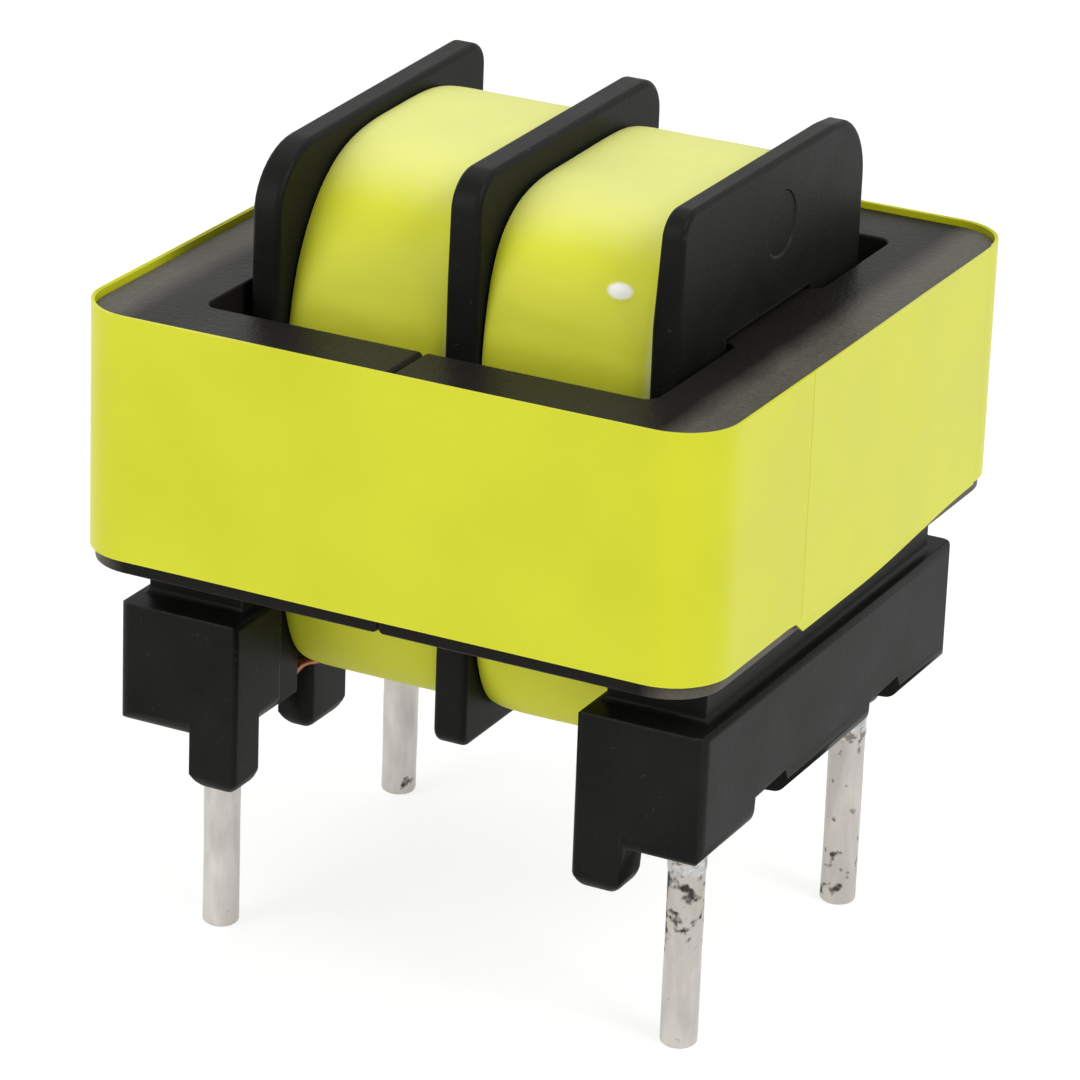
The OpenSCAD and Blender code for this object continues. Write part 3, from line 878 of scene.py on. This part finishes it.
def lead_route(bottom_z):
    """Centre line of the lead at the back right, from the coil to its turns round the pin."""
    turn_r = PIN_R + WIRE_R
    route = [
        Vector((3.9, LEAD_Y, bottom_z + 0.16)), Vector((4.3, LEAD_Y, bottom_z - 0.02)),
        Vector((4.62, LEAD_Y + 0.02, bottom_z - 0.42)), Vector((4.83, LEAD_Y + 0.15, RAIL_Z + 0.1)),
        Vector((4.95, LEAD_Y + 0.5, RAIL_Z - 0.08)),
    ]
    for i in range(int(WRAP_TURNS * WRAP_STEPS) + 1):
        angle = math.pi - TURN * i / WRAP_STEPS
        z = RAIL_Z - 0.14 - WRAP_PITCH * i / WRAP_STEPS
        route.append(Vector((PIN_X + turn_r * math.cos(angle), PIN_Y + turn_r * math.sin(angle), z)))
    return route


def smooth_curve(points, pieces):
    """Catmull-Rom curve through the points."""
    out = []
    for i in range(len(points) - 1):
        p0, p1, p2 = points[max(0, i - 1)], points[i], points[i + 1]
        p3 = points[min(len(points) - 1, i + 2)]
        for k in range(pieces):
            t = k / pieces
            out.append(0.5 * (2 * p1 + (p2 - p0) * t + (2 * p0 - 5 * p1 + 4 * p2 - p3) * t * t
                              + (3 * p1 - p0 - 3 * p2 + p3) * t * t * t))
    return out + [points[-1]]


def wire(bm, path, radius):
    """A round wire along a path."""
    angles = [TURN * k / LEAD_SIDES for k in range(LEAD_SIDES)]
    side = Vector((0, 1, 0))
    rows = []
    for i, p in enumerate(path):
        along = (path[min(i + 1, len(path) - 1)] - path[max(i - 1, 0)]).normalized()
        side = (side - along * side.dot(along)).normalized()
        up = along.cross(side)
        rows.append([p + radius * (side * math.cos(a) + up * math.sin(a)) for a in angles])
    skin(bm, rows, caps=True)


def make_leads():
    """The four wire ends; each is the back right one's curve, mirrored to its own corner."""
    material = copper("lead_wire", srgb(178, 104, 62), srgb(196, 124, 76), burnt=True)
    low, high = box_mm("coil_tape_right")
    middle = (COIL_TOP["right"] + low.z) / 2
    bulge = (middle - low.z) * (1 - (LEAD_Y / high.y) ** COIL_LOW_POWER) ** (1 / COIL_LOW_POWER)
    curve = smooth_curve(lead_route(middle - bulge), LEAD_CURVE_STEPS)
    for quarter, (sx, sy) in QUARTERS.items():
        bm = bmesh.new()
        wire(bm, [Vector((sx * p.x, sy * p.y, p.z)) for p in curve], WIRE_R * LEAD_THIN)
        piece = finished("lead_wire_" + quarter, bm, material, ["lead_" + quarter], sharp=60)
        paint(piece, "burnt", lambda p: smoothstep(0.6, 0.1, p.z - RAIL_Z))


def make_joints():
    """A thin lumpy sleeve of solder round the root of each pin."""
    material = solder()
    height = JOINT_TOP - JOINT_LOW
    for quarter, (sx, sy) in QUARTERS.items():
        centre = Vector((sx * PIN_X, sy * PIN_Y, 0))
        outer = []
        for i in range(JOINT_ROWS + 1):
            t = i / JOINT_ROWS
            for (r0, t0), (r1, t1) in zip(JOINT_SHAPE, JOINT_SHAPE[1:]):
                if t0 <= t <= t1:
                    outer.append((PIN_R + mix(r0, r1, (t - t0) / (t1 - t0)), JOINT_LOW + height * t))
                    break
        profile = outer + [(PIN_R - JOINT_SUNK, JOINT_TOP), (PIN_R - JOINT_SUNK, JOINT_LOW)]

        def wobble(angle, z):
            t = (z - JOINT_LOW) / height
            spot = Vector((2 * math.cos(angle) + 3 * sx, 2 * math.sin(angle) + 4 * sy, 2 * z))
            return JOINT_LUMPS * noise.noise(spot) * smoothstep(0.0, 0.3, t)

        bm = bmesh.new()
        lathe(bm, centre, profile, JOINT_SIDES, wobble, closed=True)
        finished("joint_" + quarter, bm, material, ["solder_" + quarter], sharp=60)


def round_the_tube(points):
    """The same number of points as given, moved in to the tube that the wire is wound on."""
    middle, half = (TUBE_LOW + TUBE_HIGH) / 2, (TUBE_HIGH - TUBE_LOW) / 2
    moved = []
    for p in points:
        y, z = p.x, p.y - middle
        share = min(TUBE_Y / max(abs(y), 1e-6), half / max(abs(z), 1e-6))
        moved.append((y * share, middle + z * share))
    return moved


def make_windings():
    """Close turns of enamelled wire under the tape."""
    material = copper("winding_copper", srgb(150, 74, 36), srgb(172, 92, 48))
    steps = WINDING_TURNS * STEPS_A_TURN
    for side in ("left", "right"):
        near, far = coil_rims(side, "winding_" + side)
        coil_low, coil_high = box_mm("coil_tape_" + side)
        rows = []
        for k in range(steps + 1):
            phase = 2 * (k % STEPS_A_TURN) / STEPS_A_TURN - 1
            dip = WINDING_WIRE_R * (1 - math.sqrt(1 - phase * phase))
            sunk = COIL_TAPE_T + SHOULDER + WINDING_ROOM + dip
            outline = coil_outline(side, k / steps, coil_high.y, coil_low.z, -sunk)[::WINDING_THIN]
            rows.append([Vector((mix(near, far, k / steps), p.x, p.y)) for p, n in outline])
        inner = round_the_tube([Vector((p.y, p.z)) for p in rows[0]])
        for x in (far, near):
            rows.append([Vector((x, y, z)) for y, z in inner])
        bm = bmesh.new()
        skin(bm, rows, closed_rows=True)
        finished("copper_turns_" + side, bm, material, ["winding_" + side], sharp=60)


# ---------------------------------------------------------------- stage

def white_to_camera(tree, plain, white):
    """Shows the white shader to the camera, to gloss and through glass, and the plain one to light."""
    path = place(tree, "ShaderNodeLightPath").outputs
    seen = math_node(tree, "MAXIMUM", path["Is Camera Ray"],
                     math_node(tree, "MAXIMUM", path["Is Glossy Ray"], path["Is Transmission Ray"]))
    return place(tree, "ShaderNodeMixShader", {0: seen, 1: plain, 2: white}).outputs[0]


def make_floor():
    """A pale floor that is clear from below."""
    bm = bmesh.new()
    bmesh.ops.create_grid(bm, x_segments=8, y_segments=8, size=FLOOR_HALF)
    floor = linked_object("floor", bm)
    material = bpy.data.materials.new("pale_floor")
    material.use_nodes = True
    tree = material.node_tree
    tree.nodes.remove(tree.nodes["Principled BSDF"])
    plain = place(tree, "ShaderNodeBsdfDiffuse", {"Color": (0.8, 0.8, 0.8, 1)}).outputs[0]
    matt = place(tree, "ShaderNodeBsdfDiffuse", {"Color": (0.35, 0.35, 0.35, 1)}).outputs[0]
    glow = place(tree, "ShaderNodeEmission", {"Color": (1, 1, 1, 1), "Strength": FLOOR_GLOW}).outputs[0]
    white = place(tree, "ShaderNodeAddShader", {0: matt, 1: glow}).outputs[0]
    from_below = place(tree, "ShaderNodeNewGeometry").outputs["Backfacing"]
    clear = place(tree, "ShaderNodeBsdfTransparent").outputs[0]
    above = white_to_camera(tree, plain, white)
    seen = place(tree, "ShaderNodeMixShader", {0: from_below, 1: above, 2: clear}).outputs[0]
    tree.links.new(seen, tree.nodes["Material Output"].inputs["Surface"])
    floor.data.materials.append(material)


def make_world():
    """Soft light from all round, on a background that shows white."""
    world = bpy.data.worlds.new("studio")
    bpy.context.scene.world = world
    world.use_nodes = True
    tree = world.node_tree
    soft = tree.nodes["Background"]
    soft.inputs["Color"].default_value = (1, 1, 1, 1)
    soft.inputs["Strength"].default_value = WORLD_LIGHT
    white = place(tree, "ShaderNodeBackground", {"Color": (1, 1, 1, 1), "Strength": 1.0}).outputs[0]
    seen = white_to_camera(tree, soft.outputs[0], white)
    tree.links.new(seen, tree.nodes["World Output"].inputs["Surface"])


def make_lamp(name, place_mm, size_mm, watts):
    """A square soft lamp that looks at the middle of the object."""
    lamp = bpy.data.lights.new(name, "AREA")
    lamp.size = size_mm * MM
    lamp.energy = watts
    holder = bpy.data.objects.new(name, lamp)
    spot = Vector(place_mm) * MM
    holder.location = spot
    holder.rotation_euler = (Vector(LAMPS_AIM) * MM - spot).to_track_quat("-Z", "Y").to_euler()
    bpy.context.scene.collection.objects.link(holder)


def make_camera():
    """The camera, turned about the point it looks at and rolled a little."""
    azimuth, elevation, roll = (math.radians(a) for a in CAMERA_ANGLES)
    back = Vector((math.sin(azimuth) * math.cos(elevation), -math.cos(azimuth) * math.cos(elevation),
                   math.sin(elevation)))
    right = (-back).cross(Vector((0, 0, 1))).normalized()
    up = right.cross(-back)
    side = right * math.cos(roll) + up * math.sin(roll)
    over = up * math.cos(roll) - right * math.sin(roll)
    data = bpy.data.cameras.new("camera")
    data.sensor_width = CAMERA_SENSOR
    data.lens = CAMERA_LENS
    data.clip_start = 0.005
    data.clip_end = 10
    camera = bpy.data.objects.new("camera", data)
    turned = Matrix((side, over, back)).transposed().to_4x4()
    camera.matrix_world = Matrix.Translation((Vector(CAMERA_AIM) + back * CAMERA_DISTANCE) * MM) @ turned
    bpy.context.scene.collection.objects.link(camera)
    bpy.context.scene.camera = camera


def plain(box):
    return [list(corner) for corner in box]


make_bobbin()
make_core()
make_core_tape()
make_coil_tapes()
make_pins()
make_leads()
make_joints()
make_windings()
make_floor()
make_world()
make_lamp("key", (230, -60, 190), 150, 0.42)
make_lamp("fill", (-160, -260, 120), 200, 0.4)
make_lamp("top", (-30, 60, 320), 260, 0.3)
make_camera()
bpy.context.scene.view_settings.view_transform = "Standard"
